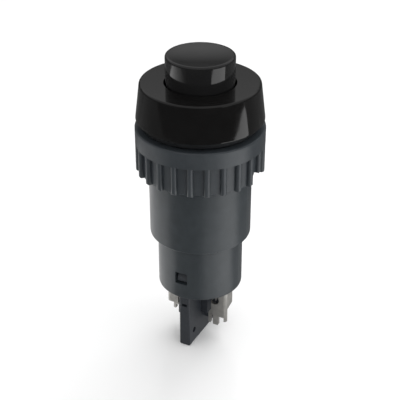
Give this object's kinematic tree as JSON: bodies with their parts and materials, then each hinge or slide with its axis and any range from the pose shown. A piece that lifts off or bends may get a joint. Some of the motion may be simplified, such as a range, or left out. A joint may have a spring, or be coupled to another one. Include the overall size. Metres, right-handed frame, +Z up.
{
  "type": "panel pushbutton switch",
  "caption": "Round momentary panel pushbutton: gloss cap in a conical bezel, ring nut, stepped barrel, and solder terminals either side of a barrier fin.",
  "frame": {"origin": "on the switch's axis, in the plane of the flange underside, where the bezel meets the panel", "axes": "+Z up the axis, out of the panel towards the button cap; Y along the barrier fin; terminals on +X and -X"},
  "size_m": [0.0182, 0.0182, 0.0453],
  "materials": {
    "cap_plastic": "polished black moulding",
    "plunger_plastic": "natural acetal moulding",
    "bezel_plastic": "polished black moulding",
    "barrel_plastic": "satin dark grey moulding",
    "gasket_rubber": "black rubber",
    "nut_plastic": "satin dark grey moulding",
    "spring_steel": "drawn spring wire",
    "bridge_brass": "rolled brass strip",
    "contact_silver": "silver rivet",
    "terminal_tinned_brass": "tinned brass sheet",
    "base_plastic": "satin dark grey moulding"
  },
  "bodies": {
    "housing": {"bezel_ring": "bezel_plastic", "barrel": "barrel_plastic", "panel_gasket": "gasket_rubber", "return_spring": "spring_steel", "fixed_contact_right": "contact_silver", "fixed_contact_left": "contact_silver", "terminal_right": "terminal_tinned_brass", "terminal_left": "terminal_tinned_brass", "contact_base": "base_plastic"},
    "button": {"button_cap": "cap_plastic", "plunger": "plunger_plastic", "contact_spring": "spring_steel", "bridge_clip": "spring_steel"},
    "bridge": {"contact_bridge": "bridge_brass", "moving_contact_right": "contact_silver", "moving_contact_left": "contact_silver"},
    "nut": {"ring_nut": "nut_plastic"}
  },
  "joints": [
    {"name": "button_press", "type": "slide", "parent": "housing", "child": "button", "axis": [0, 0, -1], "range_m": [0, 0.0022], "stiffness_N_per_m": 500, "springref_m": -0.003, "deforming": ["return_spring"]},
    {"name": "bridge_yield", "type": "slide", "parent": "button", "child": "bridge", "axis": [0, 0, 1], "range_m": [0, 0.001], "stiffness_N_per_m": 200, "springref_m": -0.002, "deforming": ["contact_spring"]},
    {"name": "nut_travel", "type": "slide", "parent": "housing", "child": "nut", "axis": [0, 0, -1], "range_m": [0, 0.007]}
  ],
  "couplings": [
    {"joint": "bridge_yield", "follows": "button_press", "ratio": 0.45}
  ]
}
